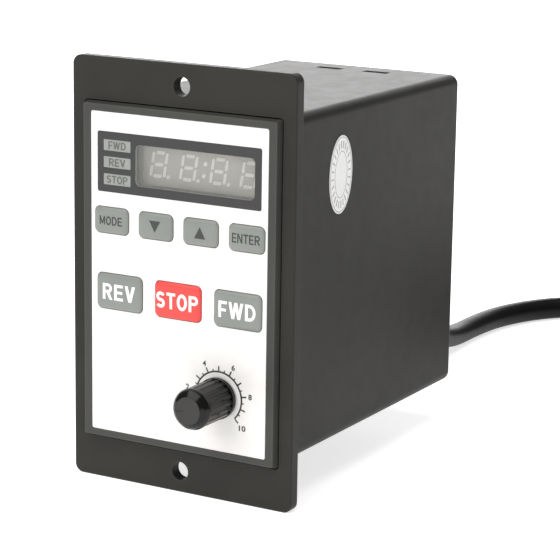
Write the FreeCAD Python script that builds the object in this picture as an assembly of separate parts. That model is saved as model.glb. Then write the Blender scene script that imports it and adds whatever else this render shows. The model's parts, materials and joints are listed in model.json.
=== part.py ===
"""Panel-mounted variable frequency drive for a small motor.

A black moulded box stands behind a two-hole flange, both of one moulding. The flange carries a raised
front panel with a printed overlay, a four-digit display, three indicator lamps,
seven keys and one speed knob. The electronics fill the box, a snap-in cover
closes its rear, and a flexible lead leaves the cover and ends in a connector.

Millimetres. X points right and Z up as seen from the front, and Y points
rearwards. The origin is the centre of the flange's rear face, which seats on
the panel. The unit stands upright on the flange's lower edge, and the lead
lies on the same floor.
"""
import FreeCAD, Part
import math
import os

os.makedirs("parts", exist_ok=True)
Vector = FreeCAD.Vector

# Flange
FLANGE_W = 60.5
FLANGE_H = 102.0
FLANGE_T = 3.0
FLANGE_R = 2.2
FLANGE_EDGE_R = 0.5
MOUNT_PITCH = 91.5
MOUNT_HOLE_R = 2.25
FLOOR_Z = -FLANGE_H / 2

# Box behind the flange
BOX_W = 53.2
BOX_H = 81.2
BOX_DEPTH = 88.5
BOX_R = 2.5
BOX_REAR_R = 2.0
WALL = 2.6
CAVITY_X = BOX_W / 2 - WALL
CAVITY_Z = BOX_H / 2 - WALL
CAVITY_R = 1.0
ROOT = 0.5

# Raised front panel and its seat in the flange
PANEL_BASE_W = BOX_W
PANEL_BASE_H = BOX_H
PANEL_FACE_W = 52.2
PANEL_FACE_H = 80.3
PANEL_R = 0.6
PANEL_RISE = 1.55
PANEL_BACK_Y = -1.2
PANEL_FACE_Y = -FLANGE_T - PANEL_RISE
SEAT_GAP = 0.3

# Printed overlay, let into the front panel
OVERLAY_W = 48.0
OVERLAY_H = 76.9
OVERLAY_R = 0.5
OVERLAY_T = 0.25
OVERLAY_GAP = 0.12
OVERLAY_FACE_Y = PANEL_FACE_Y + 0.1
OVERLAY_BACK_Y = OVERLAY_FACE_Y + OVERLAY_T

# Display window, lamp windows and what is behind them
WINDOW_W = 32.1
WINDOW_H = 9.7
WINDOW_R = 1.2
WINDOW_X = 4.45
WINDOW_Z = 26.65
WINDOW_T = 1.5
LAMP_W = 7.5
LAMP_H = 2.6
LAMP_X = -16.75
LAMP_Z = (30.7, 26.7, 22.65)
LAMP_R = 1.2
MODULE_W = 30.2
MODULE_H = 10.2
MODULE_FACE_Y = -0.25

# Keys: name, centre x, centre z, width, height
SMALL_KEY = (9.35, 6.2)
LARGE_KEY = (12.6, 8.55)
SMALL_KEY_Z = 12.88
LARGE_KEY_Z = -4.15
SMALL_PITCH = 12.27
LARGE_PITCH = 16.2
KEYS = (
    ("mode", -18.17, SMALL_KEY_Z, SMALL_KEY),
    ("down", -18.17 + SMALL_PITCH, SMALL_KEY_Z, SMALL_KEY),
    ("up", -18.17 + 2 * SMALL_PITCH, SMALL_KEY_Z, SMALL_KEY),
    ("enter", -18.17 + 3 * SMALL_PITCH, SMALL_KEY_Z, SMALL_KEY),
    ("reverse", 0.27 - LARGE_PITCH, LARGE_KEY_Z, LARGE_KEY),
    ("stop", 0.27, LARGE_KEY_Z, LARGE_KEY),
    ("forward", 0.27 + LARGE_PITCH, LARGE_KEY_Z, LARGE_KEY),
)
KEY_R = 1.3
KEY_RISE = 0.55
KEY_EDGE_R = 0.35
KEY_GAP = 0.15
KEY_CAP_BACK_Y = PANEL_BACK_Y - 0.55
KEY_LIP_UP = 1.0
KEY_LIP_Y = (PANEL_BACK_Y + 0.1, -0.3)
KEY_STEM_R = 1.5

# Display board and its switches
BOARD_T = 1.6
BOARD_Y = 5.9
BOARD_X = 22.0
BOARD_Z = 36.0
SWITCH_SIDE = 6.0
SWITCH_FACE_Y = 2.5
PLUNGER_R = 1.65
PLUNGER_Y = (1.4, 3.2)
PLUNGER_FIT = 0.05
PLUNGER_TRAVEL = 0.5
HEADER_T = 3.4
RIBBON_T = 0.8
RIBBON_W = 11.0
RIBBON_BEND_R = 2.2
CHIP_SIDE = 10.0
CHIP_PINS = 8

# Speed knob and potentiometer
KNOB_X = 11.42
KNOB_Z = -25.52
KNOB_BACK_Y = -4.95
KNOB_FRONT_Y = -17.9
KNOB_BACK_R = 4.95
KNOB_FRONT_R = 4.75
KNOB_NOSE_R = 3.35
FLUTES = 18
FLUTE_R = 0.42
SHAFT_R = 3.0
SHAFT_FIT = 0.05
SHAFT_END_Y = -13.0
BUSH_R = 3.5
POT_W = 9.5
POT_H = 11.0
POT_FACE_Y = -0.9
CAP_T = 0.8
POINTER_DEG = 184.0
POINTER_R = (1.2, 3.4)
POINTER_W = 0.45

# Posts, ledges and screws that clamp the display board
POST_X = 19.4
POST_Z = 34.2
POST_R = 2.2
LEDGE_SIDE = 3.2
LEDGE_T = 2.5
SCREW_R = 1.0
SCREW_HEAD_R = 1.9
SCREW_HEAD_T = 1.4

# Power board, on four bosses on the left wall
POWER_X = -17.4
POWER_Y = (16.0, 80.0)
POWER_Z = 34.0
POWER_FACE_X = POWER_X + BOARD_T
BOSS_YZ = [(y, z) for y in (20.0, 76.0) for z in (-30.0, 30.0)]
BOSS_R = 2.7

# Parts on the power board, which all stand off its face towards +X
CAN_R = 9.0
CAN_L = 30.0
CAN_Y = (33.5, 53.0)
CAN_Z = 20.0
TRAFO_X = POWER_FACE_X + 9.0
TRAFO_Y = 71.0
TRAFO_Z = 16.0
TRAFO_CORE = (9.0, 15.0, 18.0)
TRAFO_COIL = (18.0, 11.4, 12.0)
RELAY_L = 15.0
RELAY_Y = (22.0, 41.0)
RELAY_Z = (-9.0, 6.0)
RECTIFIER_Y = (44.5, 59.5)
RECTIFIER_Z = (0.0, 4.0)
RECTIFIER_LEGS_Y = (46.0, 50.0, 54.0, 57.0)
FILM_L = 14.0
FILM_Y = (18.5, 40.0)
FILM_Z = (-20.0, -12.0)
FUSE_X = POWER_FACE_X + 5.0
FUSE_Z = -26.0
FUSE_GLASS_Y = (30.0, 40.0)
FUSE_CAP_L = 5.0
FUSE_CAP_R = 2.6
CHOKE = (POWER_FACE_X + 9.0, 51.0, -13.0)
CHOKE_CORE = (7.0, 4.2, 3.2)
CHOKE_COIL = (8.2, 3.0, 4.4)
TERMINAL_L = 20.0
TERMINAL_Y = (47.0, 59.0)
TERMINAL_Z = (-33.0, -25.0)
TERMINAL_SCREW_R = 1.45
CORE_PITCH = 4.8
CORE_R = 0.95

# Heat sink and the two transistors on it
SINK_X = (-14.5, 18.0)
SINK_Y = (61.5, 80.0)
SINK_Z = -3.0
SINK_BASE_T = 3.0
SINK_DEPTH = 21.0
SINK_FINS = 7
SINK_FIN_T = 1.6
TRANSISTOR_X = (-6.5, 5.0)
TRANSISTOR_SCREW_Y = 76.0
TRANSISTOR_SCREW_R = 1.4
TAB_T = 1.3

# Rear cover and its four latches
COVER_GAP = 0.1
COVER_Y = (85.9, 88.2)
LATCH_X = 6.75
LATCH_W = 6.9
WINDOW_LATCH = (7.3, 2.5)
LATCH_Y = 79.4
VENT_COUNT = 7
VENT_PITCH = 4.2
VENT_W = 26.0
VENT_H = 2.0

# Strain relief and lead
CORD_D = 6.5
CORD_R = CORD_D / 2
EXIT_Z = -31.0
EXIT_Y = 106.0
RELIEF_FLANGE_R = 5.2
RELIEF_NECK_R = 4.4
CORD_Z = FLOOR_Z + CORD_R
LEAD_ROUTE = (
    (0.0, EXIT_Y, EXIT_Z),
    (-0.8, 123.0, -34.5),
    (-2.6, 139.0, -44.2),
    (-4.4, 155.0, CORD_Z),
    (-4.7, 171.0, CORD_Z),
    (-3.2, 186.0, CORD_Z),
    (3.5, 202.0, CORD_Z),
    (14.5, 212.5, CORD_Z),
    (27.5, 219.0, CORD_Z),
    (41.0, 222.5, CORD_Z),
    (55.5, 222.25, CORD_Z),
)

# Put-away coil: two turns, one on the other, and part of a third on top of them
COIL_X = 55.5
COIL_Y = 190.0
COIL_R = 32.25
COIL_TOP_Z = CORD_Z + 2 * CORD_D
COIL_LEAVES_AT = 0.0
COIL_TOP_FROM = 126.0
TIE_ANGLE = 60.0
TIE_T = 0.6
TIE_W = 4.0

# Tail of the lead and the connector on it
PLUG_L = 22.0
PLUG_W = 16.0
PLUG_H = 10.0
PLUG_Z = FLOOR_Z + PLUG_H / 2
TAIL_ROUTE = (
    (87.75, 190.0, COIL_TOP_Z),
    (87.75, 174.5, COIL_TOP_Z),
    (85.5, 159.5, -40.5),
    (82.0, 144.5, PLUG_Z),
    (78.0, 129.5, PLUG_Z),
)
CONTACT_PITCH = 3.4
CONTACT_R = 1.0
CONTACT_L = 10.0

# Oval sticker on the right side
SEAL_Y = 24.6
SEAL_Z = 24.1
SEAL_HALF_H = 9.3
SEAL_HALF_W = 5.5
SEAL_T = 0.15
SEAL_LEAN = 3.0


def box(x, y, z):
    """A box between the two values of each pair."""
    size = [b - a for a, b in (x, y, z)]
    return Part.makeBox(*size, Vector(x[0], y[0], z[0]))


def centred_box(cx, cy, cz, dx, dy, dz):
    return box((cx - dx / 2, cx + dx / 2), (cy - dy / 2, cy + dy / 2), (cz - dz / 2, cz + dz / 2))


def rod_y(r, y, x=0.0, z=0.0):
    return Part.makeCylinder(r, y[1] - y[0], Vector(x, y[0], z), Vector(0, 1, 0))


def rod_x(r, x, y, z):
    return Part.makeCylinder(r, x[1] - x[0], Vector(x[0], y, z), Vector(1, 0, 0))


def rod_z(r, z, x, y):
    return Part.makeCylinder(r, z[1] - z[0], Vector(x, y, z[0]), Vector(0, 0, 1))


def ring_y(outer, inner, y, x=0.0, z=0.0):
    return rod_y(outer, y, x, z).cut(rod_y(inner, (y[0] - 1, y[1] + 1), x, z))


def rounded_wire(w, h, r, y, x=0.0, z=0.0):
    """A rounded rectangle in the plane at y, with its centre at x and z."""
    a = w / 2
    b = h / 2
    k = r * (1 - math.sqrt(0.5))

    def at(px, pz):
        return Vector(x + px, y, z + pz)

    corners = ((1, 1), (-1, 1), (-1, -1), (1, -1))
    edges = []
    ends = []
    for i, (sx, sz) in enumerate(corners):
        on_side = at(sx * a, sz * (b - r))
        on_top = at(sx * (a - r), sz * b)
        middle = at(sx * (a - k), sz * (b - k))
        first, last = (on_side, on_top) if i % 2 == 0 else (on_top, on_side)
        edges.append(Part.Arc(first, middle, last).toShape())
        ends.append((first, last))
    for i in range(4):
        edges.append(Part.LineSegment(ends[i][1], ends[(i + 1) % 4][0]).toShape())
    return Part.Wire(Part.__sortEdges__(edges))


def rounded_bar(w, h, r, y, x=0.0, z=0.0):
    """A bar along Y with a rounded rectangular section."""
    face = Part.Face(rounded_wire(w, h, r, y[0], x, z))
    return face.extrude(Vector(0, y[1] - y[0], 0))


def revolve_y(profile, x=0.0, z=0.0, angle=360):
    """A closed (radius, y) outline turned about the line at x and z along Y."""
    points = [Vector(x + r, y, z) for r, y in profile]
    face = Part.Face(Part.makePolygon(points + points[:1]))
    return face.revolve(Vector(x, 0, z), Vector(0, 1, 0), angle)


def edges_at(shape, axis, value):
    """The edges that lie whole in the plane where that coordinate has that value."""
    low = axis + "Min"
    high = axis + "Max"
    found = []
    for edge in shape.Edges:
        b = edge.BoundBox
        if abs(getattr(b, low) - value) < 1e-4 and abs(getattr(b, high) - value) < 1e-4:
            found.append(edge)
    return found


def union(shapes):
    whole = shapes[0].multiFuse(shapes[1:]) if len(shapes) > 1 else shapes[0]
    return whole.removeSplitter()


def save(node, shape):
    """Writes one node, and says when a shape isn't sound."""
    if not shape.isValid():
        print("not valid:", node)
    shape.exportStep("parts/" + node + ".step")


def signs():
    return [(sx, sz) for sx in (-1, 1) for sz in (-1, 1)]


def key_opening(y, key, gap):
    name, x, z, (w, h) = key
    return rounded_bar(w + 2 * gap, h + 2 * gap, KEY_R + gap, y, x, z)


# Casing

def flange():
    """The two-hole flange, with the front panel's seat and the opening that the box fills."""
    plate = rounded_bar(FLANGE_W, FLANGE_H, FLANGE_R, (-FLANGE_T, 0))
    plate = plate.makeFillet(FLANGE_EDGE_R, edges_at(plate, "Y", -FLANGE_T))
    seat_w = PANEL_BASE_W + 2 * SEAT_GAP
    seat_h = PANEL_BASE_H + 2 * SEAT_GAP
    through = (-FLANGE_T - 1, 1)
    plate = plate.cut(rounded_bar(seat_w, seat_h, PANEL_R + SEAT_GAP, (through[0], PANEL_BACK_Y)))
    plate = plate.cut(rounded_bar(BOX_W, BOX_H, BOX_R, through))
    for side in (-1, 1):
        plate = plate.cut(rod_y(MOUNT_HOLE_R, through, 0, side * MOUNT_PITCH / 2))
    return plate


def box_shell():
    """The box through the flange, open at both ends, with latch windows, ledges and bosses."""
    shell = rounded_bar(BOX_W, BOX_H, BOX_R, (PANEL_BACK_Y, BOX_DEPTH))
    shell = shell.makeFillet(BOX_REAR_R, edges_at(shell, "Y", BOX_DEPTH))
    inside = (PANEL_BACK_Y - 1, BOX_DEPTH + 1)
    shell = shell.cut(rounded_bar(2 * CAVITY_X, 2 * CAVITY_Z, CAVITY_R, inside))
    for sx, sz in signs():
        w, d = WINDOW_LATCH
        middle = sz * (BOX_H / 2 - WALL / 2)
        shell = shell.cut(centred_box(sx * LATCH_X, LATCH_Y, middle, w, d, WALL + 2))
    return union([shell] + ledges() + bosses())


def ledges():
    """Four corner ledges that the display board is clamped against."""
    y = (BOARD_Y + BOARD_T, BOARD_Y + BOARD_T + LEDGE_T)
    found = []
    for sx, sz in signs():
        x = sorted((sx * (POST_X - LEDGE_SIDE), sx * (CAVITY_X + ROOT)))
        z = sorted((sz * (POST_Z - LEDGE_SIDE), sz * (CAVITY_Z + ROOT)))
        hole = rod_y(SCREW_R + 0.2, (y[0] - 1, y[1] + 1), sx * POST_X, sz * POST_Z)
        found.append(box(x, y, z).cut(hole))
    return found


def bosses():
    """Four bosses on the left wall under the power board."""
    found = []
    for y, z in BOSS_YZ:
        boss = rod_x(BOSS_R, (-CAVITY_X - ROOT, POWER_X), y, z)
        found.append(boss.cut(rod_x(SCREW_R, (-CAVITY_X + 0.2, POWER_X + 1), y, z)))
    return found


def front_panel():
    """The raised panel, with its apertures and the posts behind it."""
    base = rounded_bar(PANEL_BASE_W, PANEL_BASE_H, PANEL_R, (-FLANGE_T, PANEL_BACK_Y))
    low = rounded_wire(PANEL_BASE_W, PANEL_BASE_H, PANEL_R, -FLANGE_T)
    high = rounded_wire(PANEL_FACE_W, PANEL_FACE_H, PANEL_R, PANEL_FACE_Y)
    panel = base.fuse(Part.makeLoft([low, high], True))
    recess_w = OVERLAY_W + 2 * OVERLAY_GAP
    recess_h = OVERLAY_H + 2 * OVERLAY_GAP
    through = (PANEL_FACE_Y - 1, PANEL_BACK_Y + 1)
    cuts = [rounded_bar(recess_w, recess_h, OVERLAY_R, (PANEL_FACE_Y - 1, OVERLAY_BACK_Y))]
    cuts.append(rounded_bar(WINDOW_W, WINDOW_H, WINDOW_R, through, WINDOW_X, WINDOW_Z))
    cuts += [centred_box(LAMP_X, -2, z, LAMP_W, 10, LAMP_H) for z in LAMP_Z]
    cuts += [key_opening(through, key, KEY_GAP) for key in KEYS]
    cuts.append(rod_y(BUSH_R + 0.1, through, KNOB_X, KNOB_Z))
    for cut in cuts:
        panel = panel.cut(cut)
    posts = []
    for sx, sz in signs():
        y = (PANEL_BACK_Y, BOARD_Y)
        post = rod_y(POST_R, y, sx * POST_X, sz * POST_Z)
        posts.append(post.cut(rod_y(SCREW_R, (0, BOARD_Y + 1), sx * POST_X, sz * POST_Z)))
    return union([panel] + posts)


def front_overlay():
    """The thin printed sheet, open at the windows, the keys and the knob shaft."""
    y = (OVERLAY_FACE_Y, OVERLAY_BACK_Y)
    through = (y[0] - 1, y[1] + 1)
    sheet = rounded_bar(OVERLAY_W, OVERLAY_H, OVERLAY_R, y)
    cuts = [rounded_bar(WINDOW_W, WINDOW_H, WINDOW_R, through, WINDOW_X, WINDOW_Z)]
    cuts += [centred_box(LAMP_X, y[0], z, LAMP_W, 4, LAMP_H) for z in LAMP_Z]
    cuts += [key_opening(through, key, KEY_GAP) for key in KEYS]
    cuts.append(rod_y(BUSH_R + 0.3, through, KNOB_X, KNOB_Z))
    for cut in cuts:
        sheet = sheet.cut(cut)
    return sheet


def display_window():
    y = (OVERLAY_FACE_Y, OVERLAY_FACE_Y + WINDOW_T)
    return rounded_bar(WINDOW_W, WINDOW_H, WINDOW_R, y, WINDOW_X, WINDOW_Z)


def lamp_windows():
    y = OVERLAY_FACE_Y + WINDOW_T / 2
    return Part.makeCompound([centred_box(LAMP_X, y, z, LAMP_W, WINDOW_T, LAMP_H) for z in LAMP_Z])


# Keys and their switches

def key_cap(key):
    """A key with a rounded face, a neck, a retaining lip behind the panel and a stem."""
    name, x, z, (w, h) = key
    face_y = OVERLAY_FACE_Y - KEY_RISE
    cap = rounded_bar(w, h, KEY_R, (face_y, KEY_CAP_BACK_Y), x, z)
    cap = cap.makeFillet(KEY_EDGE_R, edges_at(cap, "Y", face_y))
    neck = rounded_bar(w - 1.0, h - 0.6, 0.6, (KEY_CAP_BACK_Y, KEY_LIP_Y[0]), x, z)
    lip = rounded_bar(w - 1.0, h + 2 * KEY_LIP_UP, 0.6, KEY_LIP_Y, x, z)
    stem = rod_y(KEY_STEM_R, (KEY_LIP_Y[1], PLUNGER_Y[0]), x, z)
    return union([cap, neck, lip, stem])


def key_plunger(key):
    name, x, z, size = key
    return rod_y(PLUNGER_R, PLUNGER_Y, x, z)


def tact_switches():
    """The seven switch bodies on the display board."""
    found = []
    depth = PLUNGER_Y[1] + PLUNGER_TRAVEL
    for name, x, z, size in KEYS:
        y = (SWITCH_FACE_Y, BOARD_Y)
        body = rounded_bar(SWITCH_SIDE, SWITCH_SIDE, 0.5, y, x, z)
        found.append(body.cut(rod_y(PLUNGER_R + PLUNGER_FIT, (y[0] - 1, depth), x, z)))
    return Part.makeCompound(found)


# Display board

def display_board():
    board = box((-BOARD_X, BOARD_X), (BOARD_Y, BOARD_Y + BOARD_T), (-BOARD_Z, BOARD_Z))
    for sx, sz in signs():
        hole = rod_y(SCREW_R + 0.1, (BOARD_Y - 1, BOARD_Y + BOARD_T + 1), sx * POST_X, sz * POST_Z)
        board = board.cut(hole)
    return board


def display_module():
    """The four-digit display block, just smaller than the window."""
    y = (MODULE_FACE_Y, BOARD_Y)
    return rounded_bar(MODULE_W, MODULE_H, 0.4, y, WINDOW_X, WINDOW_Z - 0.2)


def indicator_lamps():
    """Three domed lamps on square bases."""
    found = []
    for z in LAMP_Z:
        base = centred_box(LAMP_X, BOARD_Y - 1.5, z, 2.6, 3.0, 2.6)
        barrel = rod_y(LAMP_R, (LAMP_R, BOARD_Y - 3.0), LAMP_X, z)
        dome = Part.makeSphere(LAMP_R, Vector(LAMP_X, LAMP_R, z))
        found.append(union([base, barrel, dome]))
    return Part.makeCompound(found)


def chip(x, z, side, y0, pins):
    """A square package lying on the back of the display board, with pins on four sides."""
    body = centred_box(x, y0 + 0.75, z, side, 1.3, side)
    legs = []
    pitch = side / (pins + 1)
    for i in range(pins):
        d = (i + 1) * pitch - side / 2
        for s in (-1, 1):
            legs.append(centred_box(x + d, y0 + 0.25, z + s * (side / 2 + 0.6), 0.4, 0.5, 1.6))
            legs.append(centred_box(x + s * (side / 2 + 0.6), y0 + 0.25, z + d, 1.6, 0.5, 0.4))
    return union([body] + legs)


def controller_chip():
    return chip(6.0, 2.0, CHIP_SIDE, BOARD_Y + BOARD_T, CHIP_PINS)


def board_headers():
    """The ribbon's two headers, one on each board."""
    front = box((-11.0, -7.0), (BOARD_Y + BOARD_T, BOARD_Y + BOARD_T + HEADER_T), (-7.0, 7.0))
    rear = box((POWER_FACE_X, POWER_FACE_X + HEADER_T), (17.0, 21.0), (-7.0, 7.0))
    return Part.makeCompound([front, rear])


def ribbon_cable():
    """The flat cable from board to board, bent once."""
    start_y = BOARD_Y + BOARD_T + HEADER_T
    end_x = POWER_FACE_X + HEADER_T
    t = RIBBON_T
    mid_x = -9.0
    mid_y = 19.0
    r = RIBBON_BEND_R
    cx = mid_x - r - t / 2
    cy = mid_y - r - t / 2

    def arm(sign):
        return [Vector(mid_x + sign * t / 2, start_y, 0), Vector(mid_x + sign * t / 2, cy, 0)]

    outer = r + t
    inner = r
    k = math.sqrt(0.5)
    edges = [
        Part.LineSegment(*arm(1)).toShape(),
        Part.Arc(
            Vector(cx + outer, cy, 0), Vector(cx + outer * k, cy + outer * k, 0), Vector(cx, cy + outer, 0)
        ).toShape(),
        Part.LineSegment(Vector(cx, cy + outer, 0), Vector(end_x, cy + outer, 0)).toShape(),
        Part.LineSegment(Vector(end_x, cy + outer, 0), Vector(end_x, cy + inner, 0)).toShape(),
        Part.LineSegment(Vector(end_x, cy + inner, 0), Vector(cx, cy + inner, 0)).toShape(),
        Part.Arc(
            Vector(cx, cy + inner, 0), Vector(cx + inner * k, cy + inner * k, 0), Vector(cx + inner, cy, 0)
        ).toShape(),
        Part.LineSegment(*arm(-1)[::-1]).toShape(),
        Part.LineSegment(arm(-1)[0], arm(1)[0]).toShape(),
    ]
    strip = Part.Face(Part.Wire(Part.__sortEdges__(edges))).extrude(Vector(0, 0, RIBBON_W))
    strip.translate(Vector(0, 0, -RIBBON_W / 2))
    return strip


def screw_y(x, z, head_y, tip_y):
    """A pan-head screw along Y, driven from the rear, with a cross recess."""
    head = rod_y(SCREW_HEAD_R, (head_y, head_y + SCREW_HEAD_T), x, z)
    shank = rod_y(SCREW_R, (tip_y, head_y), x, z)
    y = head_y + SCREW_HEAD_T
    across = centred_box(x, y, z, 2.4, 1.2, 0.5)
    along = centred_box(x, y, z, 0.5, 1.2, 2.4)
    return union([head, shank]).cut(across).cut(along)


# Speed knob

def knob_body():
    """The fluted knob: a smooth foot, a fluted barrel, a smooth collar and a domed nose."""
    barrel_y = (-15.4, -6.0)
    profile = [
        (0, KNOB_BACK_Y),
        (KNOB_BACK_R, KNOB_BACK_Y),
        (KNOB_BACK_R, barrel_y[1]),
        (KNOB_BACK_R - 0.15, barrel_y[1]),
        (KNOB_FRONT_R, barrel_y[0]),
        (KNOB_FRONT_R + 0.08, barrel_y[0]),
        (KNOB_FRONT_R + 0.08, -16.1),
        (4.55, -16.8),
        (4.1, -17.4),
        (KNOB_NOSE_R, KNOB_FRONT_Y + 0.05),
        (KNOB_NOSE_R, KNOB_FRONT_Y + CAP_T),
        (0, KNOB_FRONT_Y + CAP_T),
    ]
    knob = revolve_y(profile, KNOB_X, KNOB_Z)
    for i in range(FLUTES):
        a = 2 * math.pi * (i + 0.5) / FLUTES
        r = KNOB_FRONT_R + 0.22
        x = KNOB_X + r * math.cos(a)
        z = KNOB_Z + r * math.sin(a)
        knob = knob.cut(rod_y(FLUTE_R, barrel_y, x, z))
    return knob.cut(potentiometer_shaft()).cut(rod_y(BUSH_R + 0.4, (-6, -4.4), KNOB_X, KNOB_Z))


def knob_cap():
    """The inlaid disc in the knob's nose, with a pointer groove."""
    y = (KNOB_FRONT_Y, KNOB_FRONT_Y + CAP_T)
    disc = rod_y(KNOB_NOSE_R - 0.05, y, KNOB_X, KNOB_Z)
    disc = disc.makeFillet(0.12, edges_at(disc, "Y", KNOB_FRONT_Y))
    middle = sum(POINTER_R) / 2
    length = POINTER_R[1] - POINTER_R[0]
    groove = centred_box(KNOB_X + middle, KNOB_FRONT_Y, KNOB_Z, length, 0.3, POINTER_W)
    groove.rotate(Vector(KNOB_X, 0, KNOB_Z), Vector(0, -1, 0), POINTER_DEG)
    return disc.cut(groove)


def potentiometer_shaft():
    """The turning shaft, with a flat where the knob grips it."""
    shaft = rod_y(SHAFT_R, (SHAFT_END_Y, 3.0), KNOB_X, KNOB_Z)
    flat = box((KNOB_X - 4, KNOB_X + 4), (SHAFT_END_Y - 1, -6.5), (KNOB_Z + 1.5, KNOB_Z + 4))
    return shaft.cut(flat)


def potentiometer_bush():
    return ring_y(BUSH_R, SHAFT_R + SHAFT_FIT, (-4.3, POT_FACE_Y), KNOB_X, KNOB_Z)


def potentiometer_body():
    body = rounded_bar(POT_W, POT_H, 0.8, (POT_FACE_Y, BOARD_Y), KNOB_X, KNOB_Z)
    return body.cut(rod_y(SHAFT_R + SHAFT_FIT, (POT_FACE_Y - 1, 3.1), KNOB_X, KNOB_Z))


# Power electronics

def power_board():
    board = box((POWER_X, POWER_FACE_X), POWER_Y, (-POWER_Z, POWER_Z))
    for y, z in BOSS_YZ:
        board = board.cut(rod_x(SCREW_R + 0.1, (POWER_X - 1, POWER_FACE_X + 1), y, z))
    return board


def board_screws():
    """Four screws through each board."""
    head_y = BOARD_Y + BOARD_T + LEDGE_T
    found = [screw_y(sx * POST_X, sz * POST_Z, head_y, 0.4) for sx, sz in signs()]
    for y, z in BOSS_YZ:
        head = rod_x(SCREW_HEAD_R, (POWER_FACE_X, POWER_FACE_X + SCREW_HEAD_T), y, z)
        shank = rod_x(SCREW_R, (-CAVITY_X + 0.4, POWER_FACE_X), y, z)
        slot = centred_box(POWER_FACE_X + SCREW_HEAD_T, y, z, 1.2, 0.5, 2.4)
        found.append(union([head, shank]).cut(slot))
    return Part.makeCompound(found)


def bus_capacitors():
    """Two upright cans, each with the rolled groove near its foot."""
    found = []
    top = POWER_FACE_X + CAN_L
    for y in CAN_Y:
        can = rod_x(CAN_R, (POWER_FACE_X, top), y, CAN_Z)
        can = can.makeFillet(0.8, edges_at(can, "X", top))
        groove = rod_x(CAN_R + 1, (POWER_FACE_X + 2.5, POWER_FACE_X + 3.7), y, CAN_Z)
        groove = groove.cut(rod_x(CAN_R - 0.6, (POWER_FACE_X + 2, POWER_FACE_X + 4), y, CAN_Z))
        found.append(can.cut(groove))
    return Part.makeCompound(found)


def transformer_core():
    """The laminated frame, with a window each side of its middle leg."""
    core = centred_box(TRAFO_X, TRAFO_Y, TRAFO_Z, *TRAFO_CORE)
    for side in (-1, 1):
        core = core.cut(centred_box(TRAFO_X, TRAFO_Y + side * 4.0, TRAFO_Z, 10, 3.4, TRAFO_COIL[2]))
    return core


def transformer_winding():
    coil = centred_box(TRAFO_X, TRAFO_Y, TRAFO_Z, *TRAFO_COIL)
    upright = [e for e in coil.Edges if e.BoundBox.ZLength > TRAFO_COIL[2] - 1]
    coil = coil.makeFillet(1.2, upright)
    return coil.cut(centred_box(TRAFO_X, TRAFO_Y, TRAFO_Z, TRAFO_CORE[0], 4.6, TRAFO_COIL[2]))


def relay():
    top = POWER_FACE_X + RELAY_L
    body = box((POWER_FACE_X, top), RELAY_Y, RELAY_Z)
    return body.makeFillet(0.6, edges_at(body, "X", top))


def rectifier():
    body = box((POWER_FACE_X + 3.0, POWER_FACE_X + 14.0), RECTIFIER_Y, RECTIFIER_Z)
    leg_x = (POWER_FACE_X, POWER_FACE_X + 3.0)
    legs = [box(leg_x, (y, y + 1.0), (1.6, 2.4)) for y in RECTIFIER_LEGS_Y]
    return union([body] + legs)


def film_capacitor():
    top = POWER_FACE_X + FILM_L
    body = box((POWER_FACE_X, top), FILM_Y, FILM_Z)
    return body.makeFillet(0.5, edges_at(body, "X", top))


def fuse():
    """A glass tube with a cap at each end."""
    start, end = FUSE_GLASS_Y
    glass = rod_y(FUSE_CAP_R - 0.2, FUSE_GLASS_Y, FUSE_X, FUSE_Z)
    spans = ((start - FUSE_CAP_L, start), (end, end + FUSE_CAP_L))
    return union([glass] + [rod_y(FUSE_CAP_R, y, FUSE_X, FUSE_Z) for y in spans])


def fuse_clips():
    found = []
    start, end = FUSE_GLASS_Y
    for y in ((start - 4, start - 1), (end + 1, end + 4)):
        clip = box((POWER_FACE_X, FUSE_X + 1.8), y, (FUSE_Z - 3.2, FUSE_Z + 3.2))
        clip = clip.cut(rod_y(FUSE_CAP_R, (y[0] - 1, y[1] + 1), FUSE_X, FUSE_Z))
        slot = box((POWER_FACE_X + 2, FUSE_X + 3), (y[0] - 1, y[1] + 1), (FUSE_Z - 1.6, FUSE_Z + 1.6))
        found.append(clip.cut(slot))
    return Part.makeCompound(found)


def choke_ring(outer, inner, half, angle=360, start=0):
    """A ring about Y with a rectangular section, or an arc of it."""
    x, y, z = CHOKE
    low = y - half
    high = y + half
    ring = revolve_y([(inner, low), (outer, low), (outer, high), (inner, high)], x, z, angle)
    ring.rotate(Vector(x, y, z), Vector(0, 1, 0), start)
    return ring


def choke_core():
    return choke_ring(*CHOKE_CORE)


def choke_winding():
    """Two windings, each over part of the core."""
    halves = [choke_ring(*CHOKE_COIL, 130, start) for start in (25, 205)]
    return Part.makeCompound([h.cut(choke_core()) for h in halves])


def heat_sink():
    """An aluminium extrusion: a base with seven fins pointing down."""
    base = box(SINK_X, SINK_Y, (SINK_Z - SINK_BASE_T, SINK_Z))
    fins = []
    pitch = (SINK_X[1] - SINK_X[0] - SINK_FIN_T) / (SINK_FINS - 1)
    for i in range(SINK_FINS):
        x = SINK_X[0] + i * pitch
        fins.append(box((x, x + SINK_FIN_T), SINK_Y, (SINK_Z - SINK_DEPTH, SINK_Z - SINK_BASE_T)))
    sink = union([base] + fins)
    for x in TRANSISTOR_X:
        sink = sink.cut(rod_z(TRANSISTOR_SCREW_R, (SINK_Z - 5, SINK_Z + 1), x, TRANSISTOR_SCREW_Y))
    return sink


def power_transistors():
    """Two flat packages lying on the heat sink, each with a metal tab."""
    found = []
    for x in TRANSISTOR_X:
        body = box((x - 5, x + 5), (63.0, 72.5), (SINK_Z, SINK_Z + 4.4))
        tab = box((x - 5, x + 5), (72.5, 79.0), (SINK_Z, SINK_Z + TAB_T))
        tab = tab.cut(rod_z(TRANSISTOR_SCREW_R + 0.4, (SINK_Z - 1, SINK_Z + 3), x, TRANSISTOR_SCREW_Y))
        found.append(union([body, tab]))
    return Part.makeCompound(found)


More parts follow.
